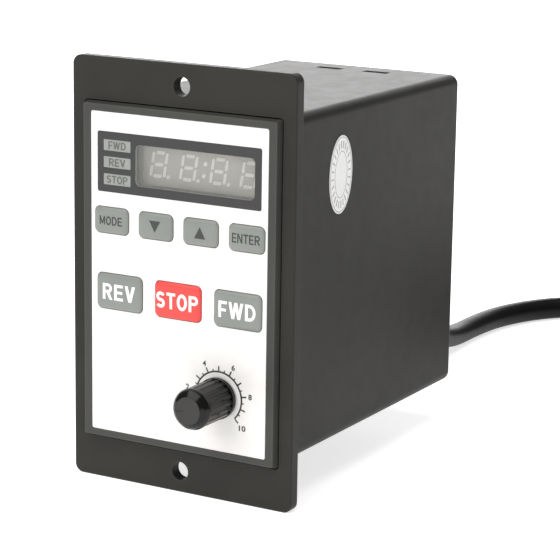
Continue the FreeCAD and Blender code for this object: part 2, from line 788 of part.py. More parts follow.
def transistor_screws():
    found = []
    for x in TRANSISTOR_X:
        head_z = SINK_Z + TAB_T
        shank = rod_z(TRANSISTOR_SCREW_R, (SINK_Z - 2.7, head_z), x, TRANSISTOR_SCREW_Y)
        head = rod_z(2.6, (head_z, head_z + 1.6), x, TRANSISTOR_SCREW_Y)
        slot = centred_box(x, TRANSISTOR_SCREW_Y, head_z + 1.6, 3.6, 0.6, 1.2)
        found.append(union([shank, head]).cut(slot))
    return Part.makeCompound(found)


def power_terminal():
    """The screw terminal block that takes the lead's four cores."""
    top = TERMINAL_Z[1]
    block = box((POWER_FACE_X, POWER_FACE_X + TERMINAL_L), TERMINAL_Y, TERMINAL_Z)
    for cx in core_places():
        block = block.cut(rod_z(TERMINAL_SCREW_R + 0.05, (top - 3, top + 1), cx, sum(TERMINAL_Y) / 2))
    return block


def core_places():
    """Where the four cores enter the terminal block, along X."""
    return [POWER_FACE_X + 2.8 + CORE_PITCH * i for i in range(4)]


def terminal_screws():
    found = []
    for cx in core_places():
        top = TERMINAL_Z[1] - 0.8
        screw = rod_z(TERMINAL_SCREW_R, (TERMINAL_Z[1] - 3, top), cx, sum(TERMINAL_Y) / 2)
        found.append(screw.cut(centred_box(cx, sum(TERMINAL_Y) / 2, top, 3.2, 0.5, 0.9)))
    return Part.makeCompound(found)


def core_leads():
    """The four cores from the strain relief to the terminal block."""
    found = []
    for i, cx in enumerate(core_places()):
        start = Vector((i - 1.5) * 2.2, COVER_Y[0] - 2.0, EXIT_Z)
        end = Vector(cx, TERMINAL_Y[1], EXIT_Z)
        points = [start, Vector(start.x, 77.0, EXIT_Z), Vector(cx, 65.5, EXIT_Z), end]
        found.append(tube(points, CORE_R))
    return Part.makeCompound(found)


# Rear cover and lead

def rear_cover():
    """The inset cover with four snap latches, louvre slots and the lead's hole."""
    x = CAVITY_X - COVER_GAP
    z = CAVITY_Z - COVER_GAP
    plate = rounded_bar(2 * x, 2 * z, 0.9, COVER_Y)
    plate = plate.makeFillet(0.4, edges_at(plate, "Y", COVER_Y[1]))
    plate = plate.cut(rod_y(RELIEF_NECK_R, (COVER_Y[0] - 1, COVER_Y[1] + 1), 0, EXIT_Z))
    for i in range(VENT_COUNT):
        plate = plate.cut(rounded_bar(VENT_W, VENT_H, 0.95, (80, 90), 0, 30.0 - i * VENT_PITCH))
    latches = []
    for sx, sz in signs():
        inner = z - 1.5
        arm_z = sorted((sz * inner, sz * z))
        half = LATCH_W / 2
        span = (sx * LATCH_X - half, sx * LATCH_X + half)
        arm = box(span, (LATCH_Y - 2.4, COVER_Y[0]), arm_z)
        profile = [
            Vector(0, LATCH_Y - 1.1, sz * (z - 0.1)),
            Vector(0, LATCH_Y + 1.1, sz * (z - 0.1)),
            Vector(0, LATCH_Y + 1.1, sz * (z + 1.6)),
            Vector(0, LATCH_Y + 0.5, sz * (z + 1.6)),
        ]
        hook = Part.Face(Part.makePolygon(profile + profile[:1])).extrude(Vector(LATCH_W, 0, 0))
        hook.translate(Vector(span[0], 0, 0))
        latches += [arm, hook]
    return union([plate] + latches)


def strain_relief():
    """The tapered bush that holds the lead: a flange each side of the cover and a ribbed boot."""
    inside = COVER_Y[0]
    outside = COVER_Y[1]
    profile = [
        (0, inside - 2.0),
        (RELIEF_FLANGE_R, inside - 2.0),
        (RELIEF_FLANGE_R, inside),
        (RELIEF_NECK_R, inside),
        (RELIEF_NECK_R, outside),
        (RELIEF_FLANGE_R, outside),
        (RELIEF_FLANGE_R, outside + 1.6),
        (RELIEF_NECK_R + 0.3, outside + 1.9),
        (CORD_R + 0.7, EXIT_Y),
        (0, EXIT_Y),
    ]
    boot = revolve_y(profile, 0, EXIT_Z)
    for i in range(4):
        y = outside + 4.6 + 3.2 * i
        boot = boot.cut(ring_y(8, 4.2 - 0.14 * i, (y, y + 1.2), 0, EXIT_Z))
    return boot


def rounded_route(points):
    """Straight runs joined by tangent arcs, each as large as its two runs allow."""
    edges = []
    radii = []
    here = points[0]
    for before, corner, after in zip(points, points[1:], points[2:]):
        into = (corner - before).normalize()
        out = (after - corner).normalize()
        turn = into.getAngle(out)
        back = 0.45 * min((corner - before).Length, (after - corner).Length)
        radius = back / math.tan(turn / 2)
        first = corner - into * back
        last = corner + out * back
        bisector = (out - into).normalize()
        middle = corner + bisector * (radius / math.cos(turn / 2) - radius)
        edges.append(Part.LineSegment(here, first).toShape())
        edges.append(Part.Arc(first, middle, last).toShape())
        radii.append(radius)
        here = last
    edges.append(Part.LineSegment(here, points[-1]).toShape())
    return Part.Wire(edges), radii


def tube(points, r):
    wire = rounded_route(points)[0]
    along = points[1] - points[0]
    circle = Part.Wire(Part.makeCircle(r, points[0], along))
    return wire.makePipeShell([circle], True, True)


def cord_tube(name, route):
    """A tube of the lead, with its radii and its volume compared with section times length."""
    points = [Vector(*p) for p in route]
    wire, radii = rounded_route(points)
    solid = tube(points, CORD_R)
    expected = math.pi * CORD_R ** 2 * wire.Length
    print(name, "length %.1f" % wire.Length, "radii", ["%.0f" % r for r in radii])
    print(name, "volume / (section x length) = %.4f" % (solid.Volume / expected))
    return solid


def coil_ring(inner, outer, z, start=0, angle=360):
    """A flat ring, or an arc of it, about the coil's axis."""
    points = [Vector(inner, 0, z[0]), Vector(outer, 0, z[0]), Vector(outer, 0, z[1]), Vector(inner, 0, z[1])]
    face = Part.Face(Part.makePolygon(points + points[:1]))
    ring = face.revolve(Vector(0, 0, 0), Vector(0, 0, 1), angle)
    ring.rotate(Vector(0, 0, 0), Vector(0, 0, 1), start)
    ring.translate(Vector(COIL_X, COIL_Y, 0))
    return ring


def cord_coil():
    """The coil's outer shape: two turns, one on the other, and part of a turn on top."""
    inner = COIL_R - CORD_R
    outer = COIL_R + CORD_R
    middle_z = FLOOR_Z + 2 * CORD_D
    low = coil_ring(inner, outer, (FLOOR_Z, middle_z))
    angle = COIL_TOP_FROM - COIL_LEAVES_AT
    high = coil_ring(inner, outer, (middle_z, middle_z + CORD_D), COIL_LEAVES_AT, angle)
    return union([low, high]).cut(cord_tie())


def cord_tie():
    """The band that holds the turns together."""
    inner = COIL_R - CORD_R
    outer = COIL_R + CORD_R
    z = (FLOOR_Z, FLOOR_Z + 3 * CORD_D + TIE_T)
    y = (-TIE_W / 2, TIE_W / 2)
    hole = box((inner, outer), (y[0] - 1, y[1] + 1), (z[0] + TIE_T, z[1] - TIE_T))
    band = box((inner - TIE_T, outer + TIE_T), y, z).cut(hole)
    band.rotate(Vector(0, 0, 0), Vector(0, 0, 1), TIE_ANGLE)
    band.translate(Vector(COIL_X, COIL_Y, 0))
    return band


def at_tail_end(shape):
    """Moves a piece modelled along +Y from the origin to the end of the lead."""
    before = Vector(*TAIL_ROUTE[-2])
    end = Vector(*TAIL_ROUTE[-1])
    heading = math.degrees(math.atan2(-(end.x - before.x), end.y - before.y))
    shape.rotate(Vector(0, 0, 0), Vector(0, 0, 1), heading)
    shape.translate(end)
    return shape


def contact_places():
    return [(x, z) for x in (-1.5, -0.5, 0.5, 1.5) for z in (-0.5, 0.5)]


def connector_shell():
    """The eight-way plug on the end of the lead, with a latch on top."""
    shell = rounded_bar(PLUG_W, PLUG_H, 1.0, (0, PLUG_L))
    for x, z in contact_places():
        hole = rod_y(CONTACT_R + 0.3, (PLUG_L - CONTACT_L, PLUG_L + 1), x * CONTACT_PITCH, z * CONTACT_PITCH)
        shell = shell.cut(hole)
    ramp = [Vector(0, 8, 0), Vector(0, 19, 0), Vector(0, 19, 0.9), Vector(0, 16, 1.6), Vector(0, 8, 1.6)]
    latch = Part.Face(Part.makePolygon(ramp + ramp[:1])).extrude(Vector(5, 0, 0))
    latch.translate(Vector(-2.5, 0, PLUG_H / 2 - 0.1))
    return at_tail_end(union([shell, latch]))


def connector_contacts():
    found = []
    y = (PLUG_L - CONTACT_L, PLUG_L - 1)
    for x, z in contact_places():
        ring = ring_y(CONTACT_R, CONTACT_R - 0.35, y, x * CONTACT_PITCH, z * CONTACT_PITCH)
        found.append(at_tail_end(ring))
    return Part.makeCompound(found)


def side_seal():
    """The oval seal sticker on the right side, leaning slightly to the rear."""
    ellipse = Part.Ellipse(Vector(0, 0, 0), SEAL_HALF_H, SEAL_HALF_W)
    face = Part.Face(Part.Wire(ellipse.toShape()))
    seal = face.extrude(Vector(0, 0, SEAL_T))
    seal.rotate(Vector(0, 0, 0), Vector(0, 1, 0), 90)
    seal.rotate(Vector(0, 0, 0), Vector(1, 0, 0), -SEAL_LEAN)
    seal.translate(Vector(BOX_W / 2, SEAL_Y, SEAL_Z))
    return seal


def main():
    save("flange", flange())
    save("box_shell", box_shell())
    save("front_panel", front_panel())
    save("front_overlay", front_overlay())
    save("display_window", display_window())
    save("lamp_windows", lamp_windows())
    for key in KEYS:
        save(key[0] + "_key", key_cap(key))
        save(key[0] + "_plunger", key_plunger(key))
    save("tact_switches", tact_switches())
    save("display_board", display_board())
    save("display_module", display_module())
    save("indicator_lamps", indicator_lamps())
    save("controller_chip", controller_chip())
    save("board_headers", board_headers())
    save("ribbon_cable", ribbon_cable())
    save("knob_body", knob_body())
    save("knob_cap", knob_cap())
    save("potentiometer_shaft", potentiometer_shaft())
    save("potentiometer_bush", potentiometer_bush())
    save("potentiometer_body", potentiometer_body())
    save("power_board", power_board())
    save("board_screws", board_screws())
    save("bus_capacitors", bus_capacitors())
    save("transformer_core", transformer_core())
    save("transformer_winding", transformer_winding())
    save("relay", relay())
    save("rectifier", rectifier())
    save("film_capacitor", film_capacitor())
    save("fuse", fuse())
    save("fuse_clips", fuse_clips())
    save("choke_core", choke_core())
    save("choke_winding", choke_winding())
    save("heat_sink", heat_sink())
    save("power_transistors", power_transistors())
    save("transistor_screws", transistor_screws())
    save("power_terminal", power_terminal())
    save("terminal_screws", terminal_screws())
    save("core_leads", core_leads())
    save("rear_cover", rear_cover())
    save("strain_relief", strain_relief())
    save("cord_lead", cord_tube("cord_lead", LEAD_ROUTE))
    save("cord_coil", cord_coil())
    save("cord_tie", cord_tie())
    save("cord_tail", cord_tube("cord_tail", TAIL_ROUTE))
    save("connector_shell", connector_shell())
    save("connector_contacts", connector_contacts())
    save("side_seal", side_seal())


main()
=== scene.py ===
import json
import math

import bmesh
import bpy
from mathutils import Matrix, Vector


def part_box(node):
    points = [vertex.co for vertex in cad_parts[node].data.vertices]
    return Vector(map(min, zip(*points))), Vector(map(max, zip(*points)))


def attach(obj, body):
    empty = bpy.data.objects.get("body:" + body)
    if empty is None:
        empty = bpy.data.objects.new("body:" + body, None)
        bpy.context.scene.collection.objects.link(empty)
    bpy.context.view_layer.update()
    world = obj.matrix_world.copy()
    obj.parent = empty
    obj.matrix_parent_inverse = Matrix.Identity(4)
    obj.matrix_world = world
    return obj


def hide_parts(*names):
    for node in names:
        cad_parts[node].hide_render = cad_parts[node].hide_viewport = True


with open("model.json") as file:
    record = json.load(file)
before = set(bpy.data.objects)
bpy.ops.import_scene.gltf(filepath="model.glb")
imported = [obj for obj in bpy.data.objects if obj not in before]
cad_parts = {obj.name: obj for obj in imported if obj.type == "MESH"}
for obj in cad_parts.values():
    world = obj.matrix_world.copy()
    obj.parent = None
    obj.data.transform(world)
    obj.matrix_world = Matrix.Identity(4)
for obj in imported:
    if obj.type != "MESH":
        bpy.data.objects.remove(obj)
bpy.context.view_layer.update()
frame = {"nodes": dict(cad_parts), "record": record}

MM = 0.001
CASING = "casing"

# Places shared with the design, in millimetres: X right, Y to the rear, Z up.
FLOOR_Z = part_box("flange")[0][2] / MM
OVERLAY_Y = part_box("front_overlay")[0][1] / MM
PRINT_T = 0.03
CORD_D = 6.5
CORD_Z = FLOOR_Z + CORD_D / 2


# Camera

def make_camera():
    """A long lens in front, right of and above the object, rolled by under a degree."""
    place = Vector((269.4, -426.4, 117.4)) * MM
    yaw = math.radians(29.84)
    pitch = math.radians(13.07)
    roll = math.radians(0.87)
    ahead = Vector((-math.sin(yaw) * math.cos(pitch), math.cos(yaw) * math.cos(pitch), -math.sin(pitch)))
    right = Vector((math.cos(yaw), math.sin(yaw), 0))
    up = right.cross(ahead)
    side = right * math.cos(roll) + up * math.sin(roll)
    top = up * math.cos(roll) - right * math.sin(roll)
    data = bpy.data.cameras.new("camera")
    data.sensor_width = 36
    data.lens = 142.7
    data.clip_start = 0.01
    camera = bpy.data.objects.new("camera", data)
    camera.matrix_world = Matrix((side, top, -ahead)).transposed().to_4x4()
    camera.location = place
    bpy.context.scene.collection.objects.link(camera)
    bpy.context.scene.camera = camera


# Materials

def node_tree(name):
    material = bpy.data.materials.new(name)
    material.use_nodes = True
    tree = material.node_tree
    tree.nodes.clear()
    out = tree.nodes.new("ShaderNodeOutputMaterial")
    shader = tree.nodes.new("ShaderNodeBsdfPrincipled")
    tree.links.new(shader.outputs[0], out.inputs[0])
    return material, tree, shader


def coordinates(tree):
    return tree.nodes.new("ShaderNodeTexCoord").outputs["Object"]


def noise(tree, source, scale, detail=3.0, rough=0.55, stretch=(1, 1, 1)):
    """Noise over the object, with its scale in features per metre."""
    mapping = tree.nodes.new("ShaderNodeMapping")
    mapping.inputs["Scale"].default_value = stretch
    tree.links.new(source, mapping.inputs["Vector"])
    texture = tree.nodes.new("ShaderNodeTexNoise")
    texture.inputs["Scale"].default_value = scale
    texture.inputs["Detail"].default_value = detail
    texture.inputs["Roughness"].default_value = rough
    tree.links.new(mapping.outputs[0], texture.inputs["Vector"])
    return texture.outputs["Fac"]


def ramp(tree, fac, low, high, start=0.35, end=0.65):
    """Maps a factor onto two colours or two values."""
    blend = tree.nodes.new("ShaderNodeValToRGB")
    first, last = blend.color_ramp.elements
    first.position = start
    last.position = end
    first.color = (*low, 1) if isinstance(low, tuple) else (low, low, low, 1)
    last.color = (*high, 1) if isinstance(high, tuple) else (high, high, high, 1)
    tree.links.new(fac, blend.inputs["Fac"])
    return blend.outputs["Color"]


def bump(tree, shader, height, distance):
    node = tree.nodes.new("ShaderNodeBump")
    node.inputs["Strength"].default_value = 1.0
    node.inputs["Distance"].default_value = distance
    tree.links.new(height, node.inputs["Height"])
    tree.links.new(node.outputs[0], shader.inputs["Normal"])


def edge_mask(tree, radius):
    """Near 1 on convex edges and corners, where a moulding is painted lighter: partly handling wear, partly a
    painted highlight.
    """
    bevel = tree.nodes.new("ShaderNodeBevel")
    bevel.samples = 4
    bevel.inputs["Radius"].default_value = radius
    geometry = tree.nodes.new("ShaderNodeNewGeometry")
    dot = tree.nodes.new("ShaderNodeVectorMath")
    dot.operation = "DOT_PRODUCT"
    tree.links.new(bevel.outputs[0], dot.inputs[0])
    tree.links.new(geometry.outputs["Normal"], dot.inputs[1])
    spread = tree.nodes.new("ShaderNodeMapRange")
    spread.inputs["From Min"].default_value = 1.0
    spread.inputs["From Max"].default_value = 0.8
    tree.links.new(dot.outputs["Value"], spread.inputs["Value"])
    return spread.outputs[0]


def mix_colour(tree, fac, low, high):
    mix = tree.nodes.new("ShaderNodeMix")
    mix.data_type = "RGBA"
    tree.links.new(fac, mix.inputs["Factor"])
    for socket, value in ((mix.inputs["A"], low), (mix.inputs["B"], high)):
        if isinstance(value, tuple):
            socket.default_value = (*value, 1)
        else:
            tree.links.new(value, socket)
    return mix.outputs["Result"]


def shade(colour, by):
    return tuple(min(1.0, c * by) for c in colour)


def moulded(name, colour, rough=0.42, grain=1800, depth=0.00002, specular=0.5, edge_wear_and_highlight=0.0, spread=0.07):
    """Moulded plastic: a fine spark-eroded grain, cloudy gloss and faint colour drift."""
    material, tree, shader = node_tree(name)
    where = coordinates(tree)
    cloud = noise(tree, where, 55, 2.0)
    tone = ramp(tree, cloud, shade(colour, 1 - spread), shade(colour, 1 + spread))
    # Convex edges painted lighter: handling wear together with a painted edge highlight
    if edge_wear_and_highlight:
        tone = mix_colour(tree, edge_mask(tree, 0.0006), tone, shade(colour, 1 + edge_wear_and_highlight))
    tree.links.new(tone, shader.inputs["Base Color"])
    gloss = ramp(tree, noise(tree, where, 260, 4.0), rough - 0.02, rough + 0.02)
    tree.links.new(gloss, shader.inputs["Roughness"])
    shader.inputs["Specular IOR Level"].default_value = specular
    bump(tree, shader, noise(tree, where, grain, 4.0, 0.7), depth)
    return material


def printed(name, colour, rough=0.38, fleck=0.05):
    """Ink or film on a printed sheet, with a faint screen-print texture."""
    material, tree, shader = node_tree(name)
    where = coordinates(tree)
    tone = ramp(tree, noise(tree, where, 400, 3.0), shade(colour, 1 - fleck), shade(colour, 1 + fleck))
    tree.links.new(tone, shader.inputs["Base Color"])
    tree.links.new(ramp(tree, noise(tree, where, 90), rough - 0.04, rough + 0.04), shader.inputs["Roughness"])
    bump(tree, shader, noise(tree, where, 2600, 2.0), 0.000004)
    return material


def metal(name, colour, rough=0.3, brushed=(1, 1, 1), scale=900):
    """Bare metal with turning or brushing marks and a dull film."""
    material, tree, shader = node_tree(name)
    where = coordinates(tree)
    streaks = noise(tree, where, scale, 4.0, 0.6, brushed)
    tree.links.new(ramp(tree, streaks, shade(colour, 0.82), shade(colour, 1.08)), shader.inputs["Base Color"])
    tree.links.new(ramp(tree, noise(tree, where, 150), rough - 0.08, rough + 0.1), shader.inputs["Roughness"])
    shader.inputs["Metallic"].default_value = 1.0
    bump(tree, shader, streaks, 0.000008)
    return material


def clear(name, colour, alpha, rough=0.08):
    """Thin clear plastic, tinted and very slightly hazy."""
    material, tree, shader = node_tree(name)
    where = coordinates(tree)
    haze = noise(tree, where, 70, 3.0)
    tree.links.new(ramp(tree, haze, shade(colour, 0.94), shade(colour, 1.06)), shader.inputs["Base Color"])
    tree.links.new(ramp(tree, noise(tree, where, 160), rough, rough + 0.05), shader.inputs["Roughness"])
    shader.inputs["Alpha"].default_value = alpha
    return material


def board_material(name, colour):
    """Solder resist over copper tracks, with round pads."""
    material, tree, shader = node_tree(name)
    where = coordinates(tree)
    bricks = tree.nodes.new("ShaderNodeTexVoronoi")
    bricks.distance = "CHEBYCHEV"
    bricks.inputs["Scale"].default_value = 260
    tree.links.new(where, bricks.inputs["Vector"])
    tracks = ramp(tree, bricks.outputs["Distance"], shade(colour, 0.75), shade(colour, 1.5), 0.28, 0.34)
    tree.links.new(tracks, shader.inputs["Base Color"])
    tree.links.new(ramp(tree, noise(tree, where, 300), 0.3, 0.42), shader.inputs["Roughness"])
    bump(tree, shader, bricks.outputs["Distance"], 0.00003)
    return material


def braided(name, colour, pitch=900):
    """Windings or a finned sleeve: fine parallel strands."""
    material, tree, shader = node_tree(name)
    wave = tree.nodes.new("ShaderNodeTexWave")
    wave.inputs["Scale"].default_value = pitch
    wave.inputs["Distortion"].default_value = 1.5
    wave.inputs["Detail"].default_value = 2
    tree.links.new(coordinates(tree), wave.inputs["Vector"])
    strands = wave.outputs["Fac"]
    tree.links.new(ramp(tree, strands, shade(colour, 0.6), shade(colour, 1.1)), shader.inputs["Base Color"])
    shader.inputs["Roughness"].default_value = 0.34
    shader.inputs["Metallic"].default_value = 0.5
    bump(tree, shader, strands, 0.0001)
    return material


BLACK = (0.030, 0.029, 0.026)
MATERIALS = {
    "housing": moulded("housing_plastic", BLACK, 0.46, 1500, 0.000018, 0.12, edge_wear_and_highlight=0.6),
    "panel": moulded("panel_plastic", (0.040, 0.040, 0.036), 0.42, 1500, 0.00002, 0.35, edge_wear_and_highlight=0.7),
    "overlay": printed("overlay_film", (0.81, 0.79, 0.77), 0.42, 0.012),
    "window": clear("window_plastic", (0.44, 0.44, 0.41), 0.22),
    "lamp_lens": printed("lamp_film", (0.26, 0.272, 0.254), 0.36),
    "key_grey": moulded("key_grey_film", (0.215, 0.228, 0.212), 0.33, 1400, 0.000008, 0.5, spread=0.05),
    "key_red": moulded("key_red_film", (0.74, 0.050, 0.042), 0.33, 1400, 0.000008, 0.5, spread=0.05),
    "switch": moulded("switch_plastic", (0.03, 0.03, 0.03), 0.4),
    "plunger": moulded("plunger_plastic", (0.1, 0.1, 0.1), 0.35),
    "board": board_material("board_resist", (0.02, 0.12, 0.05)),
    "display": moulded("display_epoxy", (0.47, 0.455, 0.41), 0.4, 900, 0.00001, spread=0.06),
    "lamp": clear("lamp_epoxy", (0.42, 0.36, 0.28), 0.8),
    "chip": moulded("chip_compound", (0.02, 0.02, 0.021), 0.55, 2500, 0.00002),
    "header": moulded("header_nylon", (0.72, 0.67, 0.55), 0.45),
    "ribbon": braided("ribbon_jacket", (0.4, 0.4, 0.42), 700),
    "steel": metal("zinc_steel", (0.62, 0.62, 0.6), 0.32),
    "knob": moulded("knob_plastic", (0.004, 0.004, 0.0037), 0.15, 900, 0.000004, 0.26, spread=0.1),
    "knob_cap": moulded("knob_cap_plastic", (0.030, 0.029, 0.027), 0.4, 1600, 0.000012, 0.3),
    "brass": metal("brass", (0.8, 0.58, 0.26), 0.28),
    "pot_body": moulded("pot_plastic", (0.03, 0.06, 0.16), 0.4),
    "capacitor": moulded("capacitor_sleeve", (0.03, 0.03, 0.06), 0.25, 400, 0.00001),
    "ferrite": moulded("ferrite", (0.09, 0.09, 0.095), 0.6, 1200, 0.00005),
    "copper": braided("enamelled_copper", (0.75, 0.3, 0.1)),
    "relay": moulded("relay_case", (0.03, 0.09, 0.36), 0.3),
    "film": moulded("film_capacitor_case", (0.65, 0.45, 0.06), 0.35),
    "fuse_glass": metal("fuse_caps", (0.72, 0.71, 0.68), 0.2),
    "aluminium": metal("extruded_aluminium", (0.72, 0.73, 0.74), 0.38, (1, 0.05, 1), 1400),
    "terminal": moulded("terminal_plastic", (0.03, 0.2, 0.07), 0.4),
    "lead_cores": moulded("core_insulation", (0.35, 0.03, 0.03), 0.4),
    "cover": moulded("cover_plastic", (0.036, 0.036, 0.033), 0.46, 1500, 0.00002, 0.35, edge_wear_and_highlight=0.8),
    "relief": moulded("relief_rubber", (0.014, 0.014, 0.014), 0.5, 1200, 0.00003, 0.35),
    "cord": moulded("cord_jacket", (0.005, 0.005, 0.0055), 0.42, 1100, 0.00002, 0.14, spread=0.15),
    "tie": moulded("tie_plastic", (0.02, 0.02, 0.02), 0.45),
    "connector": moulded("connector_nylon", (0.78, 0.74, 0.64), 0.42),
    "seal": printed("seal_paper", (0.84, 0.84, 0.83), 0.45, 0.02),
}
INK_DARK = printed("ink_dark", (0.085, 0.088, 0.083))
INK_BLACK = printed("ink_black", (0.018, 0.018, 0.018))
INK_KEY = printed("ink_key", (0.032, 0.034, 0.032))
INK_WHITE = printed("ink_white", (0.88, 0.88, 0.86))
INK_BEZEL = printed("ink_bezel", (0.022, 0.023, 0.022), 0.4, 0.04)
INK_GREY = printed("ink_grey", (0.25, 0.25, 0.25))
SEGMENT = printed("segment_epoxy", (0.92, 0.90, 0.84), 0.45, 0.03)


def dress_cad():
    for row in frame["record"]["subparts"]:
        node = frame["nodes"][row["node"]]
        for slot in node.material_slots:
            slot.material = MATERIALS[row["material_slot"]]
        smooth_by_angle(node)


def smooth_by_angle(obj, degrees=32):
    """Shades round faces smooth and keeps the corners sharp."""
    for face in obj.data.polygons:
        face.use_smooth = True
    obj.data.set_sharp_from_angle(angle=math.radians(degrees))


# Mesh helpers

def add_mesh(name, points, faces, material, body):
    """A mesh piece from points in millimetres."""
    mesh = bpy.data.meshes.new(name)
    mesh.from_pydata([Vector(p) * MM for p in points], [], faces)
    mesh.validate()
    return add_piece(name, mesh, material, body)


def add_piece(name, mesh, material, body):
    work = bmesh.new()
    work.from_mesh(mesh)
    bmesh.ops.recalc_face_normals(work, faces=work.faces)
    work.to_mesh(mesh)
    work.free()
    mesh.materials.clear()
    mesh.materials.append(material)
    piece = bpy.data.objects.new(name, mesh)
    bpy.context.scene.collection.objects.link(piece)
    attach(piece, body)
    return piece


def rounded_loop(w, h, r, x=0.0, z=0.0, steps=6):
    """The outline of a rounded rectangle, the same number of points whatever its size."""
    points = []
    for i, (sx, sz) in enumerate(((1, 1), (-1, 1), (-1, -1), (1, -1))):
        for k in range(steps + 1):
            a = math.radians(90 * i + 90 * k / steps)
            points.append((x + sx * (w / 2 - r) + r * math.cos(a), z + sz * (h / 2 - r) + r * math.sin(a)))
    return points


def loft(name, loops, material, body, smooth=28):
    """A closed skin over loops with equal counts of (x, y, z) points, capped at both ends."""
    n = len(loops[0])
    points = [p for loop in loops for p in loop]
    faces = []
    for i in range(len(loops) - 1):
        a = i * n
        b = a + n
        faces += [(a + k, a + (k + 1) % n, b + (k + 1) % n, b + k) for k in range(n)]
    faces.append(tuple(range(n)))
    faces.append(tuple(range(len(points) - n, len(points))))
    piece = add_mesh(name, points, faces, material, body)
    smooth_by_angle(piece, smooth)
    return piece


def curve_to_mesh(data):
    """The mesh of a flat curve or text, upright and facing the front."""
    holder = bpy.data.objects.new("flat", data)
    bpy.context.scene.collection.objects.link(holder)
    bpy.context.view_layer.update()
    mesh = bpy.data.meshes.new_from_object(holder.evaluated_get(bpy.context.evaluated_depsgraph_get()))
    bpy.data.objects.remove(holder)
    mesh.transform(Matrix.Rotation(math.radians(90), 4, "X"))
    return mesh


def flat_print(name, outlines, y, material, body=CASING, thickness=PRINT_T):
    """A thin printed shape: outlines of (x, z) points, where an inner outline is a hole."""
    data = bpy.data.curves.new(name, "CURVE")
    data.dimensions = "2D"
    data.fill_mode = "BOTH"
    data.extrude = thickness * MM / 2
    for outline in outlines:
        spline = data.splines.new("POLY")
        spline.points.add(len(outline) - 1)
        spline.use_cyclic_u = True
        for point, (x, z) in zip(spline.points, outline):
            point.co = (x * MM, z * MM, 0, 1)
    mesh = curve_to_mesh(data)
    mesh.transform(Matrix.Translation((0, (y - thickness / 2) * MM, 0)))
    return add_piece(name, mesh, material, body)


def legend(name, words, x, z, width, height, y, material, body, bold):
    """Printed words centred at x and z, fitted to a width and a height."""
    data = bpy.data.curves.new(name, "FONT")
    data.body = words
    data.size = 1.0
    data.offset = bold
    data.extrude = 0.01
    data.resolution_u = 6
    mesh = curve_to_mesh(data)
    low = [min(v.co[k] for v in mesh.vertices) for k in range(3)]
    high = [max(v.co[k] for v in mesh.vertices) for k in range(3)]
    for v in mesh.vertices:
        u = (v.co.x - low[0]) / (high[0] - low[0]) - 0.5
        w = (v.co.z - low[2]) / (high[2] - low[2]) - 0.5
        d = (v.co.y - low[1]) / (high[1] - low[1])
        v.co = Vector((x + u * width, y - PRINT_T * (1 - d), z + w * height)) * MM
    return add_piece(name, mesh, material, body)


# Letters, drawn as strokes in a box one unit high

def stroke(left, right, parts=6):
    """A strip of quads between two edges, each a pair of end points or a longer line."""
    if len(left) == 2:
        def along(line):
            (ax, ay), (bx, by) = line
            return [(ax + (bx - ax) * i / parts, ay + (by - ay) * i / parts) for i in range(parts + 1)]
        return list(zip(along(left), along(right)))
    return list(zip(left, right))


def stem(x, t, low=0.0, high=1.0):
    return stroke([(x, low), (x, high)], [(x + t, low), (x + t, high)])


def bar(x0, x1, y, t):
    return stroke([(x0, y), (x1, y)], [(x0, y + t), (x1, y + t)])


def slant(x0, y0, x1, y1, t):
    """A sloping stroke with level ends, t wide along the level."""
    return stroke([(x0, y0), (x1, y1)], [(x0 + t, y0), (x1 + t, y1)])


def bend(cx, cy, rx, ry, t, start, end):
    """Part of an oval ring from one angle to another, in degrees."""
    steps = max(4, int(abs(end - start) / 12))
    angles = [math.radians(start + (end - start) * i / steps) for i in range(steps + 1)]
    outer = [(cx + rx * math.cos(a), cy + ry * math.sin(a)) for a in angles]
    inner = [(cx + (rx - t) * math.cos(a), cy + (ry - t) * math.sin(a)) for a in angles]
    return stroke(outer, inner)


